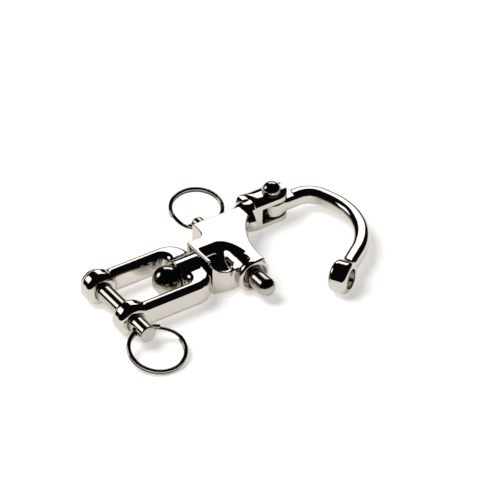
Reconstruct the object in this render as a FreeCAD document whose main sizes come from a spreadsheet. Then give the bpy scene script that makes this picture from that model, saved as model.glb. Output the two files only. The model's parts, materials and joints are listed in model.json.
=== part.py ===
"""Fork-swivel snap shackle, 70 mm size, with its bail swung open.

Frame: millimetres, +Z up, origin at the centre of the clevis pin. +X runs along the shackle from the
jaw to the bail, and +Y is the side of the bail's hinge and of the plunger's pull ring. The plane Z = 0
is the mid-plane of the jaw, the body and the bail.
"""
import FreeCAD, Part
import math
import os
import Sketcher

Vector = FreeCAD.Vector

SIZES = {
    # clevis pin and jaw
    "PinDiameter": 5.0,
    "PinHead": 7.4,
    "PinHeadHeight": 1.5,
    "PinTail": 17.2,
    "PinHole": 2.4,
    "PinHoleAt": 14.0,
    "PinEndRound": 0.5,
    "PinHeadRound": 1.2,
    "RunningGap": 0.05,
    "JawHeight": 7.2,
    "JawInside": 6.8,
    "JawOutside": 10.8,
    "JawEdge": 1.9,
    "JawCorner": 6.2,
    "JawThroat": 1.6,
    "BridgeInside": 20.0,
    "BridgeOutside": 26.8,
    "HubStart": 19.2,
    "HubRadius": 4.85,
    "BossRadius": 4.9,
    "BossInside": 5.4,
    "BossOutside": 10.9,
    "BossRound": 2.0,
    # swivel pin
    "HeadRadius": 4.3,
    "HeadAt": 16.9,
    "HeadGap": 0.15,
    "ShankDiameter": 6.0,
    "ShankEnd": 32.5,
    # snap body
    "BodyStart": 27.1,
    "CollarRadius": 4.85,
    "PlateHalf": 4.8,
    "PlateRound": 1.2,
    "NeckNear": 4.4,
    "NeckFar": 6.4,
    "ShoulderFar": 12.4,
    "SaddleNear": 7.0,
    "SaddleCurve": 9.0,
    "HornStartX": 52.5,
    "HornCurve": 6.5,
    "WebNear": 6.4,
    "WebBulge": 8.6,
    "LedgeHeight": 0.8,
    "TubeAt": 37.8,
    "TubeRadius": 4.9,
    "TubeNear": 11.3,
    "TubeFar": 13.0,
    "TubeEdge": 0.7,
    "TipBore": 5.6,
    "ChamberBore": 7.6,
    "ChamberFar": 10.4,
    "BushRecess": 0.9,
    "BushLength": 2.4,
    # plunger
    "TipDiameter": 5.4,
    "TipEnd": 19.2,
    "ShoulderDiameter": 7.2,
    "ShoulderLength": 1.6,
    "StemDiameter": 4.2,
    "StemBore": 4.4,
    "StemEnd": 18.1,
    "StemSlotWidth": 2.5,
    "StemSlotLength": 4.1,
    "StemHoleAt": 15.4,
    "SpringWire": 0.7,
    "SpringMean": 6.1,
    "SpringTurns": 7,
    "SpringRoom": 0.1,
    # split rings
    "PinRingMean": 7.7,
    "PlungerRingMean": 7.2,
    "RingWire": 0.6,
    "RingSpread": 0.2,
    "PinRingTurned": -90.0,
    "PinRingLifted": -15.4,
    "PlungerRingTurned": 68.0,
    "PlungerRingLifted": 10.0,
    # bail hinge
    "HingeX": 59.7,
    "HingeY": 13.5,
    "EarRadius": 4.6,
    "SlotHalf": 2.4,
    "SlotRoot": 54.4,
    "HingeDiameter": 3.0,
    "HingeHead": 5.6,
    "HingeHeadHeight": 2.6,
    # bail
    "TongueHalf": 2.1,
    "TongueRadius": 3.6,
    "BarDiameter": 4.5,
    "BarStartX": 60.5,
    "BarStartY": 12.6,
    "BowCornerX": 71.9,
    "BowCornerRadius": 6.3,
    "BowBendX": 79.7,
    "BowBendY": -8.9,
    "BowBendRadius": 20.4,
    "EyeX": 57.4,
    "EyeY": -24.5,
    "EyeTurn": 31.6,
    "EyeRadius": 4.6,
    "EyeHalf": 2.8,
    "EyeRound": 1.6,
    "EyeHole": 5.7,
    "SeamRoll": 40.0,
}


def make_sheet(doc):
    """Put the driving dimensions in a spreadsheet, one row each, with the name as the cell's alias."""
    sheet = doc.addObject("Spreadsheet::Sheet", "Sizes")
    for row, (name, value) in enumerate(SIZES.items(), start=1):
        sheet.set(f"A{row}", name)
        sheet.set(f"B{row}", str(value))
        sheet.setAlias(f"B{row}", name)
    doc.recompute()
    return sheet


DOC = FreeCAD.newDocument("snap_shackle")
SHEET = make_sheet(DOC)


def size(name):
    """Read one driving dimension back from the sheet."""
    return float(SHEET.get(name))


def new_body(label):
    body = DOC.addObject("PartDesign::Body", label)
    body.Label = label
    return body


def origin_plane(body, role):
    return next(item for item in body.Origin.OriginFeatures if item.Role == role)


def new_sketch(body, role, name, offset=None):
    """Start a sketch on one of the body's origin planes; offset is an expression along its normal."""
    sketch = body.newObject("Sketcher::SketchObject", name)
    sketch.AttachmentSupport = [(origin_plane(body, role), "")]
    sketch.MapMode = "FlatFace"
    if offset:
        sketch.setExpression("AttachmentOffset.Base.z", offset)
    return sketch


def draw_outline(sketch, outline, closed=True):
    """Draw an outline of (x, y) points, where a third value rounds that corner to a radius."""
    corners = [Vector(point[0], point[1], 0) for point in outline]
    starts = []
    ends = []
    arcs = []
    count = len(corners)
    for index, point in enumerate(outline):
        here = corners[index]
        before = (corners[index - 1] - here).normalize()
        after = (corners[(index + 1) % count] - here).normalize()
        radius = point[2] if len(point) > 2 else 0.0
        if radius:
            half = before.getAngle(after) / 2
            reach = radius / math.tan(half)
            middle = here + (before + after).normalize() * (radius / math.sin(half) - radius)
            starts.append(here + before * reach)
            ends.append(here + after * reach)
            arcs.append(Part.Arc(starts[-1], middle, ends[-1]))
        else:
            starts.append(here)
            ends.append(here)
            arcs.append(None)
    for index in range(count):
        if arcs[index]:
            sketch.addGeometry(arcs[index], False)
        following = (index + 1) % count
        if not closed and following == 0:
            break
        if (starts[following] - ends[index]).Length > 1e-6:
            sketch.addGeometry(Part.LineSegment(ends[index], starts[following]), False)


def draw_circle(sketch, radius, x=None, y=None):
    """Draw a circle whose radius, and centre where it is off the origin, follow expressions."""
    sketch.addGeometry(Part.Circle(Vector(0, 0, 0), Vector(0, 0, 1), 1.0), False)
    circle = sketch.GeometryCount - 1
    anchor = sketch.addConstraint(Sketcher.Constraint("Radius", circle, 1.0))
    sketch.setExpression(f"Constraints[{anchor}]", radius)
    for kind, place in (("DistanceX", x), ("DistanceY", y)):
        index = sketch.addConstraint(Sketcher.Constraint(kind, -1, 1, circle, 3, 1.0 if place else 0.0))
        if place:
            sketch.setExpression(f"Constraints[{index}]", place)


def pad(body, sketch, length, name, midplane=False, reverse=False):
    feature = body.newObject("PartDesign::Pad", name)
    feature.Profile = sketch
    feature.setExpression("Length", length)
    feature.Midplane = midplane
    feature.Reversed = reverse
    DOC.recompute()
    return feature


def pocket(body, sketch, name, length=None, midplane=False, reverse=False):
    """Cut a sketch out of the body, through everything both ways where no length is given."""
    before = body.Shape.Volume
    feature = body.newObject("PartDesign::Pocket", name)
    feature.Profile = sketch
    feature.Midplane = midplane or not length
    feature.Reversed = reverse
    if length:
        feature.setExpression("Length", length)
    else:
        feature.Type = "ThroughAll"
    DOC.recompute()
    assert body.Shape.Volume < before - 0.01, f"{name} cuts nothing"
    return feature


def turn(body, sketch, name, axis="V_Axis", cut=False):
    """Revolve a sketch about one of its own axes, to add or to cut a round shape."""
    kind = "PartDesign::Groove" if cut else "PartDesign::Revolution"
    before = body.Shape.Volume if cut else 0.0
    feature = body.newObject(kind, name)
    feature.Profile = sketch
    feature.ReferenceAxis = (sketch, [axis])
    feature.Angle = 360.0
    DOC.recompute()
    if cut:
        assert body.Shape.Volume < before - 0.01, f"{name} cuts nothing"
    return feature


def edges_where(shape, test):
    """Name the edges whose middle point passes the test."""
    names = []
    for number, edge in enumerate(shape.Edges, start=1):
        middle = edge.valueAt((edge.FirstParameter + edge.LastParameter) / 2)
        if test(middle):
            names.append(f"Edge{number}")
    return names


def round_edges(body, feature, radius, name, test):
    fillet = body.newObject("PartDesign::Fillet", name)
    fillet.Base = (feature, edges_where(feature.Shape, test))
    fillet.setExpression("Radius", radius)
    DOC.recompute()
    return fillet


def make_jaw():
    """Fork with two round bosses for the clevis pin, and a bridge that turns on the swivel pin."""
    body = new_body("jaw")
    inside = size("JawInside")
    outside = size("JawOutside")
    front = size("BridgeOutside")
    throat = size("BridgeInside")
    corner = size("JawCorner")
    plan = new_sketch(body, "XY_Plane", "jaw_plan")
    draw_outline(plan, [
        (0, -outside), (front, -outside, corner), (front, outside, corner), (0, outside),
        (0, inside), (throat, inside, size("JawThroat")), (throat, -inside, size("JawThroat")),
        (0, -inside),
    ])
    arms = pad(body, plan, "Sizes.JawHeight", "jaw_arms", midplane=True)
    half = size("JawHeight") / 2
    arms = round_edges(body, arms, "Sizes.JawEdge", "jaw_edges",
                       lambda at: abs(abs(at.z) - half) < 0.01 and at.x > 0.1)

    bosses = new_sketch(body, "XY_Plane", "jaw_bosses")
    radius = size("BossRadius")
    near = size("BossInside")
    far = size("BossOutside")
    soft = size("BossRound")
    for side in (1, -1):
        draw_outline(bosses, [(0, side * near), (radius, side * near, soft),
                              (radius, side * far, soft), (0, side * far)])
    turn(body, bosses, "jaw_boss_rounds")

    hub = new_sketch(body, "YZ_Plane", "jaw_hub", "Sizes.HubStart")
    draw_circle(hub, "Sizes.HubRadius")
    pad(body, hub, "Sizes.BridgeOutside - Sizes.HubStart", "jaw_hub_pad")

    pin_bore = new_sketch(body, "XZ_Plane", "jaw_pin_bore")
    draw_circle(pin_bore, "Sizes.PinDiameter / 2 + Sizes.RunningGap")
    pocket(body, pin_bore, "jaw_pin_hole")

    seat = new_sketch(body, "XY_Plane", "jaw_swivel_seat")
    shank = size("ShankDiameter") / 2 + size("RunningGap")
    ball = size("HeadRadius") + size("HeadGap")
    centre = size("HeadAt")
    meet = centre + math.sqrt(ball ** 2 - shank ** 2)
    bow = Vector(centre + ball * math.cos(math.pi / 4), ball * math.sin(math.pi / 4), 0)
    seat.addGeometry(Part.Arc(Vector(centre, ball, 0), bow, Vector(meet, shank, 0)), False)
    path = [Vector(meet, shank, 0), Vector(front + 1, shank, 0), Vector(front + 1, 0, 0),
            Vector(centre, 0, 0), Vector(centre, ball, 0)]
    for first, second in zip(path, path[1:]):
        seat.addGeometry(Part.LineSegment(first, second), False)
    turn(body, seat, "jaw_swivel_bore", axis="H_Axis", cut=True)
    return body


def make_clevis_pin():
    """Straight pin with a low domed head at +Y and a cross-hole for its ring near the flat -Y end."""
    body = new_body("clevis_pin")
    radius = size("PinDiameter") / 2
    head = size("PinHead") / 2
    seat = size("BossOutside")
    top = seat + size("PinHeadHeight")
    profile = new_sketch(body, "XY_Plane", "pin_profile")
    end = -size("PinTail")
    draw_outline(profile, [(0, end), (radius, end, size("PinEndRound")), (radius, seat),
                           (head, seat), (head, top, size("PinHeadRound")), (0, top)])
    turn(body, profile, "pin_round")
    hole = new_sketch(body, "YZ_Plane", "pin_ring_hole")
    draw_circle(hole, "Sizes.PinHole / 2", x="-Sizes.PinHoleAt")
    pocket(body, hole, "pin_cross_hole")
    return body


def make_swivel_pin():
    """Ball-headed pin: the head bears in the jaw's bridge and the shank is fixed in the snap body."""
    body = new_body("swivel_pin")
    ball = size("HeadRadius")
    shank = size("ShankDiameter") / 2
    centre = size("HeadAt")
    end = size("ShankEnd")
    meet = centre + math.sqrt(ball ** 2 - shank ** 2)
    profile = new_sketch(body, "XY_Plane", "swivel_profile")
    profile.addGeometry(Part.Arc(Vector(centre - ball, 0, 0), Vector(centre, ball, 0),
                                 Vector(meet, shank, 0)), False)
    path = [Vector(meet, shank, 0), Vector(end, shank, 0), Vector(end, 0, 0),
            Vector(centre - ball, 0, 0)]
    for first, second in zip(path, path[1:]):
        profile.addGeometry(Part.LineSegment(first, second), False)
    turn(body, profile, "swivel_round", axis="H_Axis")
    return body


def make_snap_body():
    """Cast body: swivel collar, cross tube for the plunger, and a horn that ends in the hinge fork."""
    body = new_body("snap_body")
    start = size("BodyStart")
    tube = size("TubeAt")
    wall = size("TubeRadius")
    hinge_x = size("HingeX")
    hinge_y = size("HingeY")
    ear = size("EarRadius")
    near = -size("NeckNear")
    far = size("ShoulderFar")
    saddle = -size("SaddleNear")
    horn = size("HornStartX")
    curve = size("HornCurve")
    tip = ear - 0.1

    plate = new_sketch(body, "XY_Plane", "body_plate")
    draw_outline(plate, [
        (start, near), (tube - wall, near), (tube - wall, saddle), (tube + wall, saddle, 1.0),
        (tube + wall, 0.0, size("SaddleCurve")), (horn, hinge_y - ear, curve),
        (hinge_x + ear, hinge_y - ear, tip), (hinge_x + ear, hinge_y + ear, tip),
        (horn, hinge_y + ear, curve), (horn - ear, far, curve),
        (tube - wall, far, 1.0), (tube - wall, far - ear, 2.0), (start, size("NeckFar")),
    ])
    body_plate = pad(body, plate, "2 * Sizes.PlateHalf", "body_plate_pad", midplane=True)
    half = size("PlateHalf")
    shoulder_end = horn - curve
    round_edges(body, body_plate, "Sizes.PlateRound", "body_plate_edges",
                lambda at: abs(abs(at.z) - half) < 0.01 and at.x > shoulder_end)

    web = new_sketch(body, "XY_Plane", "body_web", "Sizes.LedgeHeight")
    corner = -size("WebNear")
    bulge = -size("WebBulge")
    draw_outline(web, [(start, corner, 0.8), (start + ear, bulge + 1.0, 4.0), (tube, bulge),
                       (tube, 0.0), (start, 0.0)])
    pad(body, web, "Sizes.PlateHalf + Sizes.LedgeHeight", "body_web_pad", reverse=True)

    collar = new_sketch(body, "YZ_Plane", "body_collar", "Sizes.BodyStart")
    draw_circle(collar, "Sizes.CollarRadius")
    pad(body, collar, "Sizes.TubeAt - Sizes.BodyStart", "body_collar_pad")

    barrel = new_sketch(body, "XY_Plane", "body_tube")
    barrel.AttachmentOffset = FreeCAD.Placement(Vector(tube, 0, 0), FreeCAD.Rotation())
    edge = size("TubeEdge")
    draw_outline(barrel, [(0, -size("TubeNear")), (wall, -size("TubeNear"), edge),
                          (wall, size("TubeFar"), edge), (0, size("TubeFar"))])
    turn(body, barrel, "body_tube_round")

    bore = new_sketch(body, "XY_Plane", "body_bore")
    bore.AttachmentOffset = FreeCAD.Placement(Vector(tube, 0, 0), FreeCAD.Rotation())
    chamber = size("ChamberBore") / 2
    stem = size("StemBore") / 2
    draw_outline(bore, [(0, -size("TubeNear") - 1), (chamber, -size("TubeNear") - 1),
                        (chamber, size("ChamberFar")), (stem, size("ChamberFar")),
                        (stem, size("TubeFar") + 1), (0, size("TubeFar") + 1)])
    turn(body, bore, "body_plunger_bore", cut=True)

    socket = new_sketch(body, "YZ_Plane", "body_swivel_socket", "Sizes.BodyStart")
    draw_circle(socket, "Sizes.ShankDiameter / 2")
    pocket(body, socket, "body_swivel_bore", length="Sizes.ShankEnd - Sizes.BodyStart", reverse=True)

    slot = new_sketch(body, "XY_Plane", "body_slot")
    root = size("SlotRoot")
    draw_outline(slot, [(root, hinge_y - 8), (hinge_x + 8, hinge_y - 8), (hinge_x + 8, hinge_y + 8),
                        (root, hinge_y + 8)])
    pocket(body, slot, "body_fork_slot", length="2 * Sizes.SlotHalf", midplane=True)

    pin_hole = new_sketch(body, "XY_Plane", "body_hinge_hole")
    draw_circle(pin_hole, "Sizes.HingeDiameter / 2", x="Sizes.HingeX", y="Sizes.HingeY")
    pocket(body, pin_hole, "body_hinge_bore")
    return body


def make_plunger():
    """Sprung locking pin: domed tip at -Y, shoulder behind the bush, thin stem with the ring's hole."""
    body = new_body("plunger")
    tube = size("TubeAt")
    tip = size("TipDiameter") / 2
    end = -size("TipEnd")
    shoulder = size("ShoulderDiameter") / 2
    stem = size("StemDiameter") / 2
    front = bush_back() + 0.05
    back = front + size("ShoulderLength")
    profile = new_sketch(body, "XY_Plane", "plunger_profile")
    profile.AttachmentOffset = FreeCAD.Placement(Vector(tube, 0, 0), FreeCAD.Rotation())
    draw_outline(profile, [(0, end), (tip, end, tip * 0.95), (tip, front), (shoulder, front, 0.3),
                           (shoulder, back, 0.3), (stem, back), (stem, size("StemEnd"), 1.2),
                           (0, size("StemEnd"))])
    turn(body, profile, "plunger_round")
    slot = new_sketch(body, "YZ_Plane", "plunger_ring_slot", "Sizes.TubeAt")
    middle = size("StemHoleAt")
    long = size("StemSlotLength") / 2
    wide = size("StemSlotWidth") / 2
    soft = wide * 0.95
    draw_outline(slot, [(middle - long, -wide, soft), (middle + long, -wide, soft),
                        (middle + long, wide, soft), (middle - long, wide, soft)])
    pocket(body, slot, "plunger_cross_slot")
    return body


def bush_back():
    """Inner face of the bush, where the plunger's shoulder comes to rest."""
    return -size("TubeNear") + size("BushRecess") + size("BushLength")


def make_plunger_bush():
    """Plain bush pressed into the near end of the cross tube, with the plunger's tip through it."""
    body = new_body("plunger_bush")
    front = bush_back() - size("BushLength")
    profile = new_sketch(body, "XY_Plane", "bush_profile")
    profile.AttachmentOffset = FreeCAD.Placement(Vector(size("TubeAt"), 0, 0), FreeCAD.Rotation())
    inner = size("TipBore") / 2
    outer = size("ChamberBore") / 2
    draw_outline(profile, [(inner, front, 0.3), (outer, front), (outer, bush_back()),
                           (inner, bush_back())])
    turn(body, profile, "bush_round")
    return body


def make_plunger_spring():
    """Compression spring round the stem, between the shoulder and the far wall of the cross tube."""
    wire = size("SpringWire") / 2
    room = size("SpringRoom") + wire
    first = bush_back() + 0.05 + size("ShoulderLength") + room
    last = size("ChamberFar") - room
    count = 2 * int(size("SpringTurns"))
    rise = (last - first) / count
    mean = size("SpringMean") / 2
    tilt = math.degrees(math.atan2(rise / 2, mean))
    halves = []
    for number in range(count):
        # each half turn is an arc tilted to climb by its rise, and the next one starts where it ends
        half = DOC.addObject("Part::Torus", f"spring_half_turn_{number + 1}")
        half.Radius1 = math.hypot(mean, rise / 2)
        half.setExpression("Radius2", "Sizes.SpringWire / 2")
        half.Angle3 = 180.0
        side = -1 if number % 2 else 1
        half.Placement = FreeCAD.Placement(
            Vector(0, 0, rise * (number + 0.5)),
            FreeCAD.Rotation(Vector(0, 1, 0), side * tilt)
            * FreeCAD.Rotation(Vector(0, 0, 1), 180.0 * (number % 2)))
        halves.append(half)
    spring = DOC.addObject("Part::MultiFuse", "plunger_spring")
    spring.Shapes = halves
    spring.Label = "plunger_spring"
    spring.Placement = FreeCAD.Placement(Vector(size("TubeAt"), first, 0),
                                         FreeCAD.Rotation(Vector(1, 0, 0), -90))
    return spring


def make_split_ring(label, hole, mean, turned, lifted):
    """Two-turn ring threaded through a cross-hole.

    turned is the direction, in degrees from +X seen from above, in which the ring lies off its hole,
    and lifted is the angle that it rises above level in that direction.
    """
    turns = []
    for number, side in enumerate((-1, 1), start=1):
        coil = DOC.addObject("Part::Torus", f"{label}_turn_{number}")
        coil.setExpression("Radius1", f"Sizes.{mean}")
        coil.setExpression("Radius2", "Sizes.RingWire")
        coil.setExpression("Placement.Base.x", f"Sizes.{mean}")
        coil.setExpression("Placement.Base.z", f"{side} * Sizes.RingSpread")
        turns.append(coil)
    ring = DOC.addObject("Part::MultiFuse", label)
    ring.Shapes = turns
    ring.Label = label
    ring.Placement = FreeCAD.Placement(hole, FreeCAD.Rotation(Vector(0, 0, 1), turned)
                                       * FreeCAD.Rotation(Vector(0, 1, 0), -lifted))
    return ring


def make_hinge_pin():
    """Rivet-like pin fixed in the fork, with a domed head standing on the upper prong."""
    body = new_body("hinge_pin")
    radius = size("HingeDiameter") / 2
    head = size("HingeHead") / 2
    seat = size("PlateHalf")
    top = seat + size("HingeHeadHeight")
    profile = new_sketch(body, "XZ_Plane", "hinge_profile")
    profile.AttachmentOffset = FreeCAD.Placement(
        Vector(size("HingeX"), 0, -size("HingeY")), FreeCAD.Rotation())
    draw_outline(profile, [(0, -seat), (radius, -seat), (radius, seat), (head, seat, 0.3),
                           (head, top, head * 0.75), (0, top)])
    turn(body, profile, "hinge_round")
    return body


def make_bail():
    """Hinged bow: tongue in the fork, a round bar bent round the load, and an eye for the plunger's tip."""
    body = new_body("bail")
    start = Vector(size("BarStartX"), size("BarStartY"), 0)
    eye = Vector(size("EyeX"), size("EyeY"), 0)

    tongue = new_sketch(body, "XY_Plane", "bail_tongue")
    draw_circle(tongue, "Sizes.TongueRadius", x="Sizes.HingeX", y="Sizes.HingeY")
    pad(body, tongue, "2 * Sizes.TongueHalf", "bail_tongue_pad", midplane=True)

    path = new_sketch(body, "XY_Plane", "bail_path")
    bend = Vector(size("BowBendX"), size("BowBendY"), 0)
    root = eye + (bend - eye).normalize() * size("EyeRound")
    draw_outline(path, [
        (start.x, start.y), (size("BowCornerX"), start.y, size("BowCornerRadius")),
        (bend.x, bend.y, size("BowBendRadius")), (root.x, root.y),
    ], closed=False)
    section = new_sketch(body, "YZ_Plane", "bail_section", "Sizes.BarStartX")
    draw_circle(section, "Sizes.BarDiameter / 2", x="Sizes.BarStartY")
    DOC.recompute()
    bar = body.newObject("PartDesign::AdditivePipe", "bail_bar")
    bar.Profile = section
    bar.Spine = path
    DOC.recompute()

    # the eye's sketches are rolled about its axis, so that their seams stay clear of the bar's seam
    turned = FreeCAD.Placement(eye, FreeCAD.Rotation(Vector(0, 0, 1), size("EyeTurn"))
                               * FreeCAD.Rotation(Vector(0, 1, 0), size("SeamRoll")))
    rim = new_sketch(body, "XY_Plane", "bail_eye")
    rim.AttachmentOffset = turned
    outer = size("EyeRadius")
    half = size("EyeHalf")
    soft = size("EyeRound")
    draw_outline(rim, [(0, -half), (outer, -half, soft), (outer, half, soft), (0, half)])
    turn(body, rim, "bail_eye_round")
    hole = new_sketch(body, "XY_Plane", "bail_eye_hole")
    hole.AttachmentOffset = turned
    bore = size("EyeHole") / 2
    draw_outline(hole, [(0, -half - 1), (bore, -half - 1), (bore, half + 1), (0, half + 1)])
    turn(body, hole, "bail_eye_bore", cut=True)

    pivot = new_sketch(body, "XY_Plane", "bail_pivot_hole")
    draw_circle(pivot, "Sizes.HingeDiameter / 2 + Sizes.RunningGap", x="Sizes.HingeX", y="Sizes.HingeY")
    pocket(body, pivot, "bail_pivot_bore")
    return body


def check_document():
    """Stop if any feature of the document failed to compute."""
    for item in DOC.Objects:
        bad = [state for state in item.State if state in ("Invalid", "Error")]
        if bad:
            raise RuntimeError(f"{item.Name} is {bad}")


def main():
    tube = size("TubeAt")
    pieces = [
        make_jaw(),
        make_clevis_pin(),
        make_split_ring("clevis_ring", Vector(0, -size("PinHoleAt"), 0), "PinRingMean",
                        size("PinRingTurned"), size("PinRingLifted")),
        make_swivel_pin(),
        make_snap_body(),
        make_plunger(),
        make_plunger_bush(),
        make_plunger_spring(),
        make_split_ring("plunger_ring", Vector(tube, size("StemHoleAt"), 0), "PlungerRingMean",
                        size("PlungerRingTurned"), size("PlungerRingLifted")),
        make_hinge_pin(),
        make_bail(),
    ]
    DOC.recompute()
    check_document()
    os.makedirs("parts", exist_ok=True)
    for piece in pieces:
        shape = piece.Shape
        if shape.isNull() or not shape.isValid():
            raise RuntimeError(f"{piece.Label} has no valid shape")
        shape.exportStep(f"parts/{piece.Label}.step")
        print(f"{piece.Label}: {shape.Volume:.1f} mm3, {len(shape.Solids)} solid")


main()
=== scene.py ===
"""Looks of the fork-swivel snap shackle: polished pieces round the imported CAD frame.

Each piece is a smooth implicit solid, written as a distance function in millimetres, meshed on a fine
grid and drawn onto its exact surface, so that mirror-polished metal reflects without facets. The split
rings and the spring are wires swept along their coils.
"""

import json
import math

import bmesh
import bpy
import numpy as np
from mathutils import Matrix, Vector


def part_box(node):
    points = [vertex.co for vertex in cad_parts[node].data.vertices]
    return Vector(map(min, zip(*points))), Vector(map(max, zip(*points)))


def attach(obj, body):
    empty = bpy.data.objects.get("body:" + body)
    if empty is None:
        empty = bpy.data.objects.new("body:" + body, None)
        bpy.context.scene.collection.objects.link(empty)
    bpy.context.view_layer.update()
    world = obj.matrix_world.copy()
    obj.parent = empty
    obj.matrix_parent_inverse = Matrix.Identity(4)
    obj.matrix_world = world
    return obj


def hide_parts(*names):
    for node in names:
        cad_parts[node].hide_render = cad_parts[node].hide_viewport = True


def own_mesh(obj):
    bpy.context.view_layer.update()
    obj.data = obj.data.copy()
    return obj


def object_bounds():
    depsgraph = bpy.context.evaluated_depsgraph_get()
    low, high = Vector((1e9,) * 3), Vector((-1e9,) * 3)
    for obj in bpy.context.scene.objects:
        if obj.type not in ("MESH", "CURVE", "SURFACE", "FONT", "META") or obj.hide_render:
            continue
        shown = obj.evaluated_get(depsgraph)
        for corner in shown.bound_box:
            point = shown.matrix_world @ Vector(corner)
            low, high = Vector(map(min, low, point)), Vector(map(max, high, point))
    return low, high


MM = 0.001


# ---------------------------------------------------------------- distance functions, in millimetres

def length2(a, b):
    """Length of the vector (a, b)."""
    return np.sqrt(a * a + b * b)


def blend_union(a, b, soft):
    """Join two solids with a concave fillet about as large as soft."""
    mix = np.maximum(soft - np.abs(a - b), 0.0) / soft
    return np.minimum(a, b) - mix * mix * mix * soft / 6.0


def blend_cut(solid, tool, soft):
    """Take the tool out of the solid, with the edge rounded by about soft."""
    return -blend_union(-solid, tool, soft)


def blend_common(a, b, soft):
    """Keep what two solids share, with the edge rounded by about soft."""
    return -blend_union(-a, -b, soft)


def extrude(flat, height, half, edge):
    """A flat outline's distance, made a slab of this half thickness with rounded edges."""
    side = flat + edge
    top = np.abs(height) - half + edge
    return np.minimum(np.maximum(side, top), 0.0) + length2(np.maximum(side, 0.0),
                                                            np.maximum(top, 0.0)) - edge


def cylinder(radial, along, radius, low, high, edge):
    """A round bar between two ends, from its radial and axial coordinates."""
    middle = (low + high) / 2
    return extrude(radial - radius, along - middle, (high - low) / 2, edge)


# ---------------------------------------------------------------- meshing

def sample(solid, low, high, step):
    """Distances on a grid, worked out only near the surface."""
    coarse_step = 4 * step
    counts = np.ceil((high - low) / coarse_step).astype(int) + 1
    axes = [low[i] + coarse_step * np.arange(counts[i]) for i in range(3)]
    gx, gy, gz = np.meshgrid(*axes, indexing="ij")
    coarse = solid(gx.ravel(), gy.ravel(), gz.ravel()).reshape(counts)
    fine_counts = (counts - 1) * 4 + 1
    index = [np.arange(n) / 4.0 for n in fine_counts]
    base = [np.minimum(np.round(i).astype(int), counts[k] - 1) for k, i in enumerate(index)]
    field = coarse[np.ix_(*base)].copy()
    near = np.abs(field) < coarse_step * 1.6
    where = np.nonzero(near)
    position = [low[k] + step * where[k] for k in range(3)]
    values = np.empty(len(where[0]))
    chunk = 400000
    for start in range(0, len(values), chunk):
        part = slice(start, start + chunk)
        values[part] = solid(position[0][part], position[1][part], position[2][part])
    field[where] = values
    return field


def net(field, low, step):
    """Surface net: one vertex in each cell that the surface crosses, and a quad across each crossed edge."""
    inside = field < 0
    corners = [inside[i:i + inside.shape[0] - 1 or None, j:j + inside.shape[1] - 1 or None,
                      k:k + inside.shape[2] - 1 or None]
               for i in (0, 1) for j in (0, 1) for k in (0, 1)]
    shape = np.array(field.shape) - 1
    corners = [c[:shape[0], :shape[1], :shape[2]] for c in corners]
    total = sum(c.astype(np.int8) for c in corners)
    active = (total > 0) & (total < 8)
    cells = np.argwhere(active)
    number = np.full(active.shape, -1)
    number[active] = np.arange(len(cells))
    summed = np.zeros((len(cells), 3))
    hits = np.zeros(len(cells))
    for axis in range(3):
        others = [a for a in range(3) if a != axis]
        for u in (0, 1):
            for v in (0, 1):
                start = cells.copy()
                start[:, others[0]] += u
                start[:, others[1]] += v
                end = start.copy()
                end[:, axis] += 1
                a = field[tuple(start.T)]
                b = field[tuple(end.T)]
                cross = (a < 0) != (b < 0)
                t = np.where(cross, a / np.where(cross, a - b, 1.0), 0.0)
                point = start.astype(float)
                point[:, axis] += t
                summed += np.where(cross[:, None], point, 0.0)
                hits += cross
    vertices = low + step * summed / hits[:, None]
    quads = []
    for axis in range(3):
        others = [a for a in range(3) if a != axis]
        first = [slice(None)] * 3
        second = [slice(None)] * 3
        first[axis] = slice(0, -1)
        second[axis] = slice(1, None)
        a = inside[tuple(first)]
        b = inside[tuple(second)]
        edges = np.argwhere(a != b)
        edges = edges[(edges[:, others[0]] > 0) & (edges[:, others[1]] > 0)]
        ring = []
        for u, v in ((-1, -1), (0, -1), (0, 0), (-1, 0)):
            cell = edges.copy()
            cell[:, others[0]] += u
            cell[:, others[1]] += v
            ring.append(number[tuple(cell.T)])
        faces = np.stack(ring, axis=1)
        flip = inside[tuple(edges.T)] == (axis == 1)
        faces[flip] = faces[flip][:, ::-1]
        quads.append(faces)
    return vertices, np.concatenate(quads)


def gradient(solid, points, reach=0.02):
    """Direction in which the distance grows, at each point."""
    slope = np.empty_like(points)
    for axis in range(3):
        ahead = points.copy()
        behind = points.copy()
        ahead[:, axis] += reach
        behind[:, axis] -= reach
        slope[:, axis] = (solid(*ahead.T) - solid(*behind.T)) / (2 * reach)
    return slope


def settle(solid, vertices, quads, rounds=3):
    """Even out the net along the surface, and draw every vertex onto the exact surface."""
    pairs = np.concatenate([quads[:, [0, 1]], quads[:, [1, 2]], quads[:, [2, 3]], quads[:, [3, 0]]])
    pairs = np.concatenate([pairs, pairs[:, ::-1]])
    count = np.bincount(pairs[:, 0], minlength=len(vertices)).astype(float)
    for _ in range(rounds):
        middle = np.stack([np.bincount(pairs[:, 0], weights=vertices[pairs[:, 1], k],
                                       minlength=len(vertices)) for k in range(3)], axis=1)
        vertices = vertices * 0.4 + 0.6 * middle / count[:, None]
        for _ in range(2):
            slope = gradient(solid, vertices)
            size = np.maximum((slope * slope).sum(axis=1), 0.05)
            move = solid(*vertices.T) / size
            vertices = vertices - slope * np.clip(move, -0.3, 0.3)[:, None]
    return vertices


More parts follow.
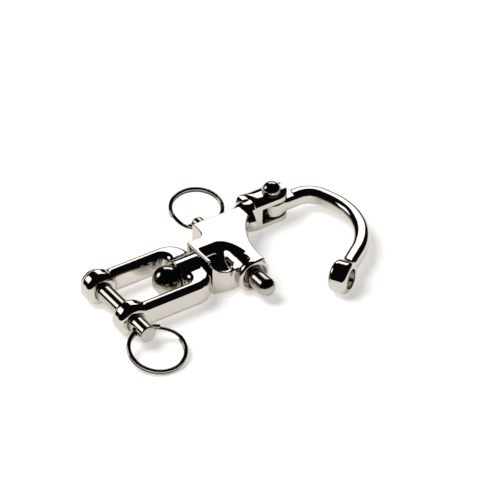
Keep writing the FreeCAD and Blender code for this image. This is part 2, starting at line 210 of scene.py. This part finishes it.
def mesh_piece(name, solid, low, high, step=0.2):
    """Mesh an implicit solid, in millimetres, as a smooth Blender object in metres."""
    low = np.array(low, float) - 3 * step
    high = np.array(high, float) + 3 * step
    field = sample(solid, low, high, step)
    vertices, quads = net(field, low, step)
    vertices = settle(solid, vertices, quads)
    normals = gradient(solid, vertices)
    normals /= np.maximum(np.linalg.norm(normals, axis=1), 1e-9)[:, None]
    mesh = bpy.data.meshes.new(name)
    mesh.from_pydata((vertices * MM).tolist(), [], quads.tolist())
    mesh.update()
    mesh.polygons.foreach_set("use_smooth", np.ones(len(mesh.polygons), bool))
    mesh.normals_split_custom_set_from_vertices(normals.tolist())
    piece = bpy.data.objects.new(name, mesh)
    bpy.context.scene.collection.objects.link(piece)
    return piece


# ---------------------------------------------------------------- places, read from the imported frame

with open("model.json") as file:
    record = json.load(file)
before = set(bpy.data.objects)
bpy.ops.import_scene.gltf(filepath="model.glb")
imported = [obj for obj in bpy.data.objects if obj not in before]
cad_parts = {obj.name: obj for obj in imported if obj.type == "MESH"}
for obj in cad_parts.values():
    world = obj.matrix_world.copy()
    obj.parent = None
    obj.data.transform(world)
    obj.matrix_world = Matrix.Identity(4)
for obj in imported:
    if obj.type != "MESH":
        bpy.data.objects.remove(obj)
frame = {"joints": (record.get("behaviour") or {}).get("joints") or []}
cad_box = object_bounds()
joints = {joint["name"]: joint for joint in frame["joints"]}


def box_mm(node):
    low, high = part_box(node)
    return np.array(low) / MM, np.array(high) / MM


def joint_mm(name):
    return np.array(joints[name]["pos_m"]) / MM


# roundings, in millimetres: drilled or turned edges, and edges that are eased by hand
CRISP = 0.3
EASED = 0.5
# how far a shank runs on into its head, and how far a cut runs out past the metal
OVERLAP = 0.5
RUN_OUT = 5.0

TUBE_X = joint_mm("plunger_ring_swing")[0]
HINGE = joint_mm("bail_hinge")


# ---------------------------------------------------------------- solids

def rounded_box(x, y, low, high, radius):
    side_x = np.abs(x - (low[0] + high[0]) / 2) - (high[0] - low[0]) / 2 + radius
    side_y = np.abs(y - (low[1] + high[1]) / 2) - (high[1] - low[1]) / 2 + radius
    inner = np.minimum(np.maximum(side_x, side_y), 0.0)
    return inner + length2(np.maximum(side_x, 0.0), np.maximum(side_y, 0.0)) - radius


def ball(x, y, z, centre, radius):
    return np.sqrt((x - centre[0]) ** 2 + (y - centre[1]) ** 2 + (z - centre[2]) ** 2) - radius


def ellipsoid(x, y, z, centre, radii):
    """A close estimate of the distance to an ellipsoid, exact on its surface."""
    px, py, pz = x - centre[0], y - centre[1], z - centre[2]
    one = np.sqrt((px / radii[0]) ** 2 + (py / radii[1]) ** 2 + (pz / radii[2]) ** 2)
    two = np.sqrt((px / radii[0] ** 2) ** 2 + (py / radii[1] ** 2) ** 2 + (pz / radii[2] ** 2) ** 2)
    return one * (one - 1.0) / np.maximum(two, 1e-6)


def segment(x, y, start, end):
    """Distance to a straight run of a centre line."""
    run = np.subtract(end, start)
    t = np.clip(((x - start[0]) * run[0] + (y - start[1]) * run[1]) / (run @ run), 0.0, 1.0)
    return length2(x - start[0] - run[0] * t, y - start[1] - run[1] * t)


def jaw_solid():
    """Fork with two bosses for the clevis pin, and a hub round the swivel pin."""
    low, high = box_mm("jaw")
    front = high[0]
    boss_far = high[1]
    boss_near = 5.4
    boss_radius = high[2]
    pin_low, pin_high = box_mm("swivel_pin")
    head = pin_high[1]
    head_x = pin_low[0] + head
    head_gap = 0.15
    arm_far = boss_far - 0.1
    arm_near = 6.8
    arm_half = 3.6
    arm_edge = 1.9
    arm_corner = 6.2
    throat_corner = 1.6
    bridge = 20.0
    behind = -20.0
    hub_radius = 4.85
    hub_start = 19.2
    pin_hole = 2.55
    swivel_hole = 3.05

    def solid(x, y, z):
        outer = rounded_box(x, y, (behind, -arm_far), (front, arm_far), arm_corner)
        window = rounded_box(x, y, (behind, -arm_near), (bridge, arm_near), throat_corner)
        arms = extrude(np.maximum(np.maximum(outer, -window), -x), z, arm_half, arm_edge)
        bosses = cylinder(length2(x, z), np.abs(y), boss_radius, boss_near, boss_far, 2.0)
        hub = cylinder(length2(y, z), x, hub_radius, hub_start, front, 0.35)
        metal = blend_union(blend_union(arms, bosses, 1.0), hub, 1.2)
        metal = blend_cut(metal, length2(x, z) - pin_hole, EASED)
        seat = ball(x, y, z, (head_x, 0.0, 0.0), head + head_gap)
        metal = blend_cut(metal, seat, CRISP)
        return blend_cut(metal, length2(y, z) - swivel_hole, CRISP)

    return solid, low, high


def clevis_pin_solid():
    """Pin with a low domed head at its far end and a cross-hole for the ring at its near end."""
    low, high = box_mm("clevis_pin")
    head_radius = high[0]
    bar_radius = 2.5
    dome_radius = 8.0
    hole_radius = 1.2
    seat = box_mm("jaw")[1][1]
    hole = joint_mm("clevis_ring_swing")[1]

    def solid(x, y, z):
        radial = length2(x, z)
        bar = cylinder(radial, y, bar_radius, low[1], seat + OVERLAP, 0.4)
        head = cylinder(radial, y, head_radius, seat, high[1], 0.5)
        dome = ball(x, y, z, (0.0, high[1] - dome_radius, 0.0), dome_radius)
        metal = np.minimum(bar, blend_common(head, dome, CRISP))
        return blend_cut(metal, length2(y - hole, z) - hole_radius, CRISP)

    return solid, low, high


def swivel_pin_solid():
    """Ball head in the jaw's hub, on a shank that is fixed in the body."""
    low, high = box_mm("swivel_pin")
    head = high[1]
    head_x = low[0] + head
    shank_radius = 3.0

    def solid(x, y, z):
        metal = ball(x, y, z, (head_x, 0.0, 0.0), head)
        shank = cylinder(length2(y, z), x, shank_radius, head_x, high[0], 0.3)
        return blend_union(metal, shank, 0.4)

    return solid, low, high


def snap_body_solid():
    """Body casting: a flat shoulder with a scoop, the plunger's cross tube, and the hinge fork."""
    low, high = box_mm("snap_body")
    start = low[0]
    near = low[1]
    half = high[2]
    # flat shoulder
    plate_end = 48.3
    shoulder_far = 12.4
    saddle = 22.7
    saddle_x = TUBE_X + 3.2
    saddle_rise = 2.3
    flank = (33.5, 10.0)
    flank_radius = 18.0
    neck_y = 6.4
    # tube
    tube_far = 13.0
    tube_radius = 4.45
    rim_radius = 4.9
    rim_length = 1.6
    # scoop
    scoop_x = 30.8
    level_half = 2.4
    scoop_centre = (0.0, -7.2, 11.2)
    scoop_radii = (6.4, 11.5, 10.6)
    ledge_width = 1.2
    dip = (32.2, 7.8)
    dip_radius = 6.0
    dip_far = -4.5
    # horn and fork
    ear = high[1] - HINGE[1]
    fork_near = HINGE[1] - ear + 0.9
    horn_start = (51.3, 12.5)
    horn_end = (56.0, HINGE[1])
    horn_radius = 4.35
    horn_widening = 0.88
    prong_start = 51.0
    crown_drop = 3.2
    heel_start = 50.6
    heel_round = 4.3
    slot_start = 54.4
    slot_half = 2.4
    # bores
    hinge_hole = 1.5
    chamber_radius = 3.7
    chamber_far = 10.4
    stem_hole = 2.2
    socket_radius = 3.0
    socket_end = 32.5

    def solid(x, y, z):
        # flat shoulder: a hollow curve on the saddle side, a bulging wall beside the collar
        flat = rounded_box(x, y, (start - RUN_OUT, near), (plate_end, shoulder_far), 0.7)
        hollow = saddle - length2(x - saddle_x - saddle, y - near - saddle_rise)
        bulge = length2(x - flank[0], y - flank[1]) - flank_radius
        near_wall = blend_union(bulge, TUBE_X - 0.3 - x, 0.5)
        neck = blend_union(TUBE_X - rim_radius - x, y - neck_y, 4.0)
        flat = np.maximum(np.maximum(flat, hollow), np.maximum(near_wall, neck))
        block = extrude(np.maximum(flat, start - x), z, half, 0.45)
        # scoop beside the tube: a level floor, a ledge round it, and a dip in the near wall
        radial = length2(x - TUBE_X, z)
        past_floor = np.sign(x - scoop_x) * np.maximum(np.abs(x - scoop_x) - level_half, 0.0)
        scoop = ellipsoid(past_floor, y, z, scoop_centre, scoop_radii)
        ledge = np.maximum(flat, start - x) + ledge_width
        block = blend_cut(block, blend_common(scoop, ledge, 0.6), 0.5)
        wall_dip = np.maximum(length2(x - dip[0], z - dip[1]) - dip_radius, y - dip_far)
        block = blend_cut(block, wall_dip, 0.6)
        # tube with a wider rim at its near end
        tube = cylinder(radial, y, tube_radius, near, tube_far, 0.6)
        rim = cylinder(radial, y, rim_radius, near, near + rim_length, 0.6)
        metal = blend_union(blend_union(block, tube, 1.4), rim, 1.2)
        metal = blend_common(metal, np.abs(z) - half, 0.4)
        # horn: a round neck that spreads into the fork
        horn = length2(segment(x, y, horn_start, horn_end) * horn_widening, z) - horn_radius
        crown = length2(y - HINGE[1], np.abs(z) + crown_drop) - half - crown_drop
        outline = rounded_box(x, y, (44.0, fork_near), (HINGE[0] + ear, high[1]), ear - 0.5)
        heel = rounded_box(x, z, (heel_start, -half), (80.0, half), heel_round)
        fork = blend_common(crown, np.maximum(outline, heel), 0.4)
        horn = np.maximum(horn, np.minimum(fork_near - y, x - prong_start))
        metal = np.minimum(blend_union(metal, horn, 0.6), fork)
        slot = rounded_box(x, z, (slot_start, -slot_half), (HINGE[0] + 8.0, slot_half), 0.3)
        metal = blend_cut(metal, slot, CRISP)
        metal = np.maximum(metal, hinge_hole - length2(x - HINGE[0], y - HINGE[1]))
        # bores for the plunger and its chamber, and the swivel pin's socket
        chamber = cylinder(radial, y, chamber_radius, near - RUN_OUT, chamber_far, 0.1)
        metal = blend_cut(metal, chamber, EASED)
        metal = np.maximum(metal, stem_hole - radial)
        socket = cylinder(length2(y, z), x, socket_radius, start - RUN_OUT, socket_end, 0.1)
        return np.maximum(metal, -socket)

    return solid, low, high


def plunger_solid():
    """Domed tip, a shoulder that stops against the bush, and a thin stem with the ring's slot."""
    low, high = box_mm("plunger")
    shoulder = high[2]
    shoulder_length = 1.6
    front = box_mm("plunger_bush")[1][1] + 0.05
    tip_radius = 2.7
    tip_round = 2.4
    stem_radius = 2.1
    stem_round = 0.9
    hole = joint_mm("plunger_ring_swing")[1]
    slot_along = 2.05
    slot_half = 1.25

    def solid(x, y, z):
        radial = length2(x - TUBE_X, z)
        tip = cylinder(radial, y, tip_radius, low[1], front + 1.0, tip_round)
        collar = cylinder(radial, y, shoulder, front, front + shoulder_length, 0.25)
        stem = cylinder(radial, y, stem_radius, front, high[1], stem_round)
        metal = np.minimum(np.minimum(tip, collar), stem)
        slot = rounded_box(y, z, (hole - slot_along, -slot_half), (hole + slot_along, slot_half), 1.2)
        return blend_cut(metal, slot, CRISP)

    return solid, low, high


def plunger_bush_solid():
    """Ring in the tube's near end that the plunger's tip slides in."""
    low, high = box_mm("plunger_bush")
    outer = high[2]
    bore = 2.8

    def solid(x, y, z):
        radial = length2(x - TUBE_X, z)
        ring = cylinder(radial, y, outer, low[1], high[1], 0.15)
        return blend_cut(ring, radial - bore, 0.6)

    return solid, low, high


def hinge_pin_solid():
    """Rivet with a domed head on the fork's top."""
    low, high = box_mm("hinge_pin")
    seat = box_mm("snap_body")[1][2]
    head = high[0] - HINGE[0]
    shank_radius = 1.5

    def solid(x, y, z):
        radial = length2(x - HINGE[0], y - HINGE[1])
        shank = cylinder(radial, z, shank_radius, low[2], seat + OVERLAP, 0.2)
        rivet = cylinder(radial, z, head, seat, high[2] + 2.0, 0.2)
        dome = ellipsoid(x, y, z, (HINGE[0], HINGE[1], seat), (head, head, high[2] - seat))
        return np.minimum(shank, blend_common(rivet, dome, CRISP))

    return solid, low, high


def bail_solid():
    """Hinged bow: a flat tongue in the fork, a bent bar, and an eye for the plunger's tip."""
    low, high = box_mm("bail")
    opened = math.radians(31.6)
    axis = np.array([-math.sin(opened), math.cos(opened)])
    eye = np.array([57.4, -24.5])
    eye_radius = high[2]
    eye_half = 2.8
    eye_bore = 2.85
    bar_y = HINGE[1] - 0.9
    bar_half_width = 2.25
    bar_half_height = 2.45
    corner = (71.9, bar_y)
    corner_radius = 6.3
    bend = (79.7, -8.9)
    bend_radius = 20.4
    tongue_radius = 3.6
    tongue_half = 2.1
    hinge_hole = 1.55
    fork_reach = 6.3

    def solid(x, y, z):
        line = bow_distance(x, y, (HINGE[0], bar_y), corner, corner_radius, bend, bend_radius, eye)
        bar = extrude(line - bar_half_width, z, bar_half_height, 1.9)
        from_hinge = length2(x - HINGE[0], y - HINGE[1])
        tongue = extrude(from_hinge - tongue_radius, z, tongue_half, 0.5)
        along = (x - eye[0]) * axis[0] + (y - eye[1]) * axis[1]
        across = (x - eye[0]) * axis[1] - (y - eye[1]) * axis[0]
        radial = length2(across, z)
        disc = cylinder(radial, along, eye_radius, -eye_half, eye_half, 1.6)
        metal = blend_union(blend_union(bar, disc, 2.0), tongue, 1.5)
        metal = blend_cut(metal, radial - eye_bore, EASED)
        metal = np.maximum(metal, hinge_hole - from_hinge)
        # inside the fork the bar is no thicker than the tongue
        return np.maximum(metal, np.minimum(np.abs(z) - tongue_half, fork_reach - from_hinge))

    return solid, low, high


def bow_distance(x, y, start, corner, corner_radius, bend, bend_radius, end):
    """Distance in plan to a centre line of three straight runs with two rounded corners."""
    points = [np.array(p, float) for p in (start, corner, bend, end)]
    nearest = np.full(x.shape, 1e9)
    reached = points[0]
    for index, radius in ((1, corner_radius), (2, bend_radius)):
        here = points[index]
        back = (points[index - 1] - here) / np.linalg.norm(points[index - 1] - here)
        ahead = (points[index + 1] - here) / np.linalg.norm(points[index + 1] - here)
        half = math.acos(back @ ahead) / 2
        reach = radius / math.tan(half)
        first = here + back * reach
        last = here + ahead * reach
        inward = (back + ahead) / np.linalg.norm(back + ahead)
        centre = here + inward * radius / math.sin(half)
        nearest = np.minimum(nearest, segment(x, y, reached, first))
        dx = x - centre[0]
        dy = y - centre[1]
        out = -(dx * inward[0] + dy * inward[1])
        side = dx * inward[1] - dy * inward[0]
        spread = np.arctan2(np.abs(side), out)
        limit = math.pi / 2 - half
        arc = np.abs(length2(dx, dy) - radius)
        ends = np.minimum(length2(x - first[0], y - first[1]), length2(x - last[0], y - last[1]))
        nearest = np.minimum(nearest, np.where(spread < limit, arc, ends))
        reached = last
    return np.minimum(nearest, segment(x, y, reached, points[3]))


# ---------------------------------------------------------------- wires

def sweep(name, points, outward, half_out, half_side, sides=20):
    """A wire of oval section along a path: outward gives, at each point, the section's first axis."""
    points = np.array(points)
    run = np.gradient(points, axis=0)
    run /= np.linalg.norm(run, axis=1)[:, None]
    outward = outward - run * (outward * run).sum(axis=1)[:, None]
    outward /= np.linalg.norm(outward, axis=1)[:, None]
    side = np.cross(run, outward)
    angles = 2 * math.pi * np.arange(sides) / sides
    outwards = (half_out * np.cos(angles))[None, :, None]
    sidewards = (half_side * np.sin(angles))[None, :, None]
    rings = points[:, None] + outward[:, None] * outwards + side[:, None] * sidewards
    # each cut end is a smaller section a little further on
    cap = 0.72
    bulge = half_side * 0.22
    cap_first = rings[:1] * cap + points[:1, None] * (1 - cap) - run[:1, None] * bulge
    cap_last = rings[-1:] * cap + points[-1:, None] * (1 - cap) + run[-1:, None] * bulge
    rings = np.concatenate([cap_first, rings, cap_last])
    count = len(rings)
    faces = [(i * sides + j, i * sides + (j + 1) % sides, (i + 1) * sides + (j + 1) % sides,
              (i + 1) * sides + j) for i in range(count - 1) for j in range(sides)]
    faces.append(tuple(range(sides))[::-1])
    faces.append(tuple((count - 1) * sides + j for j in range(sides)))
    mesh = bpy.data.meshes.new(name)
    mesh.from_pydata((rings.reshape(-1, 3) * MM).tolist(), [], faces)
    mesh.update()
    mesh.polygons.foreach_set("use_smooth", np.ones(len(mesh.polygons), bool))
    tidy = bmesh.new()
    tidy.from_mesh(mesh)
    bmesh.ops.recalc_face_normals(tidy, faces=tidy.faces)
    tidy.to_mesh(mesh)
    tidy.free()
    piece = bpy.data.objects.new(name, mesh)
    bpy.context.scene.collection.objects.link(piece)
    return piece


def split_ring(name, node, joint, split):
    """Two turns of wire side by side; split is the angle, from the hole, where the turns cross over."""
    low, high = box_mm(node)
    centre = (low + high) / 2
    out = centre - joint_mm(joint)
    radius = np.linalg.norm(out)
    out /= radius
    across = np.array(joints[joint]["axis"])
    normal = np.cross(out, across)
    gap = math.radians(24.0)
    turn_offset = 0.40
    half_out = 0.58
    half_side = 0.42
    turns = np.linspace(gap, 4 * math.pi - gap, 420)
    step = np.clip((turns - 2 * math.pi) / gap, -1.0, 1.0)
    level = turn_offset * np.sin(step * math.pi / 2)
    angle = turns + math.radians(split)
    outward = -np.cos(angle)[:, None] * out + np.sin(angle)[:, None] * across
    points = centre + radius * outward + level[:, None] * normal
    return sweep(name, points, outward, half_out, half_side)


def coil_spring(name):
    """Compression spring with its end turns closed up."""
    low, high = box_mm("plunger_spring")
    wire = 0.35
    mean = (high[2] - low[2]) / 2 - wire
    length = high[1] - low[1] - 2 * wire
    turns = 9.0
    along = np.linspace(0.0, 1.0, 700)
    closed = 0.9 / turns
    rise = np.clip((along - closed) / (1 - 2 * closed), 0.0, 1.0)
    end_lift = 1.1 * 2 * wire
    first = np.minimum(along / closed, 1.0) * end_lift
    last = np.maximum((along - 1 + closed) / closed, 0.0) * end_lift
    y = low[1] + wire + first + last + rise * (length - 2 * end_lift)
    angle = 2 * math.pi * turns * along
    outward = np.stack([np.cos(angle), np.zeros_like(angle), np.sin(angle)], axis=1)
    points = outward * mean + np.stack([np.full_like(y, TUBE_X), y, np.zeros_like(y)], axis=1)
    return sweep(name, points, outward, wire, wire, sides=12)


# ---------------------------------------------------------------- materials

def polished_metal(name, tint, smooth, rough, waviness, scratches):
    """Polished stainless: a faint wave left by hand buffing, fine scratches, and smudges in the gloss."""
    material = bpy.data.materials.new(name)
    material.use_nodes = True
    nodes = material.node_tree.nodes
    links = material.node_tree.links
    shader = nodes["Principled BSDF"]
    shader.inputs["Metallic"].default_value = 1.0
    where = nodes.new("ShaderNodeTexCoord")

    smudge = nodes.new("ShaderNodeTexNoise")
    smudge.inputs["Scale"].default_value = 180.0
    smudge.inputs["Detail"].default_value = 6.0
    links.new(where.outputs["Object"], smudge.inputs["Vector"])
    gloss = nodes.new("ShaderNodeMapRange")
    gloss.inputs["From Min"].default_value = 0.35
    gloss.inputs["From Max"].default_value = 0.75
    gloss.inputs["To Min"].default_value = smooth
    gloss.inputs["To Max"].default_value = rough
    links.new(smudge.outputs["Fac"], gloss.inputs["Value"])
    links.new(gloss.outputs["Result"], shader.inputs["Roughness"])

    shade = nodes.new("ShaderNodeMix")
    shade.data_type = "RGBA"
    shade.inputs[6].default_value = (*tint, 1.0)
    shade.inputs[7].default_value = (*(0.86 * np.array(tint)), 1.0)
    links.new(smudge.outputs["Fac"], shade.inputs[0])
    links.new(shade.outputs[2], shader.inputs["Base Color"])

    stretch = nodes.new("ShaderNodeMapping")
    stretch.inputs["Scale"].default_value = (1.0, 14.0, 14.0)
    stretch.inputs["Rotation"].default_value = (0.3, 0.2, 0.5)
    links.new(where.outputs["Object"], stretch.inputs["Vector"])
    hairlines = nodes.new("ShaderNodeTexNoise")
    hairlines.inputs["Scale"].default_value = 420.0
    hairlines.inputs["Detail"].default_value = 3.0
    links.new(stretch.outputs["Vector"], hairlines.inputs["Vector"])
    wave = nodes.new("ShaderNodeTexNoise")
    wave.inputs["Scale"].default_value = 260.0
    wave.inputs["Detail"].default_value = 1.0
    links.new(where.outputs["Object"], wave.inputs["Vector"])

    fine = nodes.new("ShaderNodeBump")
    fine.inputs["Strength"].default_value = scratches
    fine.inputs["Distance"].default_value = 0.00002
    links.new(hairlines.outputs["Fac"], fine.inputs["Height"])
    broad = nodes.new("ShaderNodeBump")
    broad.inputs["Strength"].default_value = waviness
    broad.inputs["Distance"].default_value = 0.0002
    links.new(wave.outputs["Fac"], broad.inputs["Height"])
    links.new(fine.outputs["Normal"], broad.inputs["Normal"])
    links.new(broad.outputs["Normal"], shader.inputs["Normal"])
    return material


MATERIALS = {
    "polished_casting": polished_metal("cast_stainless", (0.64, 0.60, 0.55), 0.03, 0.10, 0.12, 0.10),
    "polished_pin": polished_metal("turned_stainless", (0.50, 0.465, 0.42), 0.05, 0.13, 0.05, 0.15),
    "plunger_steel": polished_metal("plunger_stainless", (0.46, 0.425, 0.385), 0.08, 0.20, 0.05, 0.25),
    "ring_wire": polished_metal("drawn_wire", (0.50, 0.465, 0.425), 0.07, 0.18, 0.04, 0.30),
    "spring_wire": polished_metal("spring_wire", (0.50, 0.48, 0.45), 0.12, 0.28, 0.04, 0.30),
}


# ---------------------------------------------------------------- the pieces, each on its body

def dress(piece, body, node, slot):
    piece.data.materials.clear()
    piece.data.materials.append(MATERIALS[slot])
    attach(piece, body)
    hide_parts(node)


CASTINGS = [
    ("jaw_casting", jaw_solid, "jaw", "jaw", "polished_casting", 0.2),
    ("clevis_pin_turned", clevis_pin_solid, "clevis_pin", "clevis_pin", "polished_pin", 0.15),
    ("swivel_ball", swivel_pin_solid, "body", "swivel_pin", "polished_pin", 0.17),
    ("body_casting", snap_body_solid, "body", "snap_body", "polished_casting", 0.2),
    ("plunger_turned", plunger_solid, "plunger", "plunger", "plunger_steel", 0.15),
    ("bush_turned", plunger_bush_solid, "body", "plunger_bush", "plunger_steel", 0.13),
    ("hinge_rivet", hinge_pin_solid, "body", "hinge_pin", "polished_pin", 0.13),
    ("bail_casting", bail_solid, "bail", "bail", "polished_casting", 0.2),
]
for name, shape, body, node, slot, step in CASTINGS:
    dress(mesh_piece(name, *shape(), step=step), body, node, slot)

dress(split_ring("clevis_split_ring", "clevis_ring", "clevis_ring_swing", -61.0),
      "clevis_ring", "clevis_ring", "ring_wire")
dress(split_ring("plunger_split_ring", "plunger_ring", "plunger_ring_swing", -52.0),
      "plunger_ring", "plunger_ring", "ring_wire")

spring = coil_spring("plunger_coil_spring")
dress(spring, "body", "plunger_spring", "spring_wire")
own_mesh(spring)


# ---------------------------------------------------------------- floor, light and camera

def direction(azimuth, elevation):
    """Unit vector from the object towards a place round it; azimuth is seen from above, from -Y."""
    a = math.radians(azimuth)
    e = math.radians(elevation)
    return Vector((math.sin(a) * math.cos(e), -math.cos(a) * math.cos(e), math.sin(e)))


def soft_light(name, azimuth, elevation, distance, size, power):
    light = bpy.data.lights.new(name, "AREA")
    light.shape = "RECTANGLE"
    light.size, light.size_y = size
    light.energy = power
    holder = bpy.data.objects.new(name, light)
    bpy.context.scene.collection.objects.link(holder)
    towards = direction(azimuth, elevation)
    holder.location = middle + towards * distance
    holder.rotation_euler = towards.to_track_quat("Z", "Y").to_euler()
    return holder


low_corner, high_corner = (Vector(corner) for corner in cad_box)
middle = (low_corner + high_corner) / 2

floor_mesh = bpy.data.meshes.new("floor")
reach = 2.5
floor_z = low_corner.z
floor_mesh.from_pydata([(-reach, -reach, floor_z), (reach, -reach, floor_z),
                        (reach, reach, floor_z), (-reach, reach, floor_z)], [], [(0, 1, 2, 3)])
floor = bpy.data.objects.new("floor", floor_mesh)
bpy.context.scene.collection.objects.link(floor)
paper = bpy.data.materials.new("white_table")
paper.use_nodes = True
paper_shader = paper.node_tree.nodes["Principled BSDF"]
paper_shader.inputs["Base Color"].default_value = (0.93, 0.925, 0.915, 1.0)
paper_shader.inputs["Roughness"].default_value = 0.75
paper_shader.inputs["Specular IOR Level"].default_value = 0.1
paper_shader.inputs["Emission Color"].default_value = (1.0, 0.985, 0.96, 1.0)
paper_shader.inputs["Emission Strength"].default_value = 0.50
floor_mesh.materials.append(paper)

world = bpy.data.worlds.new("studio")
world.use_nodes = True
world.node_tree.nodes["Background"].inputs["Color"].default_value = (0.004, 0.0035, 0.005, 1.0)
world.node_tree.nodes["Background"].inputs["Strength"].default_value = 1.0
bpy.context.scene.world = world

VIEW_AZIMUTH = -33.4
VIEW_ELEVATION = 37.1
VIEW_DISTANCE = 1.2
VIEW_WIDTH = 0.1366
AIM = Vector((0.0084, -0.0009, -0.0012))

PANEL_DISTANCE = 1.2
PANEL_HEIGHT = 0.5

# The polished metal mirrors two wide low panels behind it. The overhead light only lights the table.
for name, azimuth, elevation, width, power in (("back_panel", 143.0, 34.5, 0.8, 2.6),
                                               ("side_panel", 220.0, 31.0, 0.5, 1.7)):
    panel = soft_light(name, azimuth, elevation, PANEL_DISTANCE, (width, PANEL_HEIGHT), power)
    panel.rotation_euler = direction(azimuth, 0.0).to_track_quat("Z", "Y").to_euler()
overhead = soft_light("overhead", -120.0, 62.0, 1.3, (0.7, 0.7), 12.5)
overhead.visible_glossy = False

camera_data = bpy.data.cameras.new("camera")
camera_data.lens = camera_data.sensor_width * VIEW_DISTANCE / VIEW_WIDTH
camera_data.clip_start = 0.05
camera = bpy.data.objects.new("camera", camera_data)
bpy.context.scene.collection.objects.link(camera)
back = direction(VIEW_AZIMUTH, VIEW_ELEVATION)
camera.location = middle + AIM + back * VIEW_DISTANCE
camera.rotation_euler = back.to_track_quat("Z", "Y").to_euler()
bpy.context.scene.camera = camera
bpy.context.scene.view_settings.view_transform = "Standard"
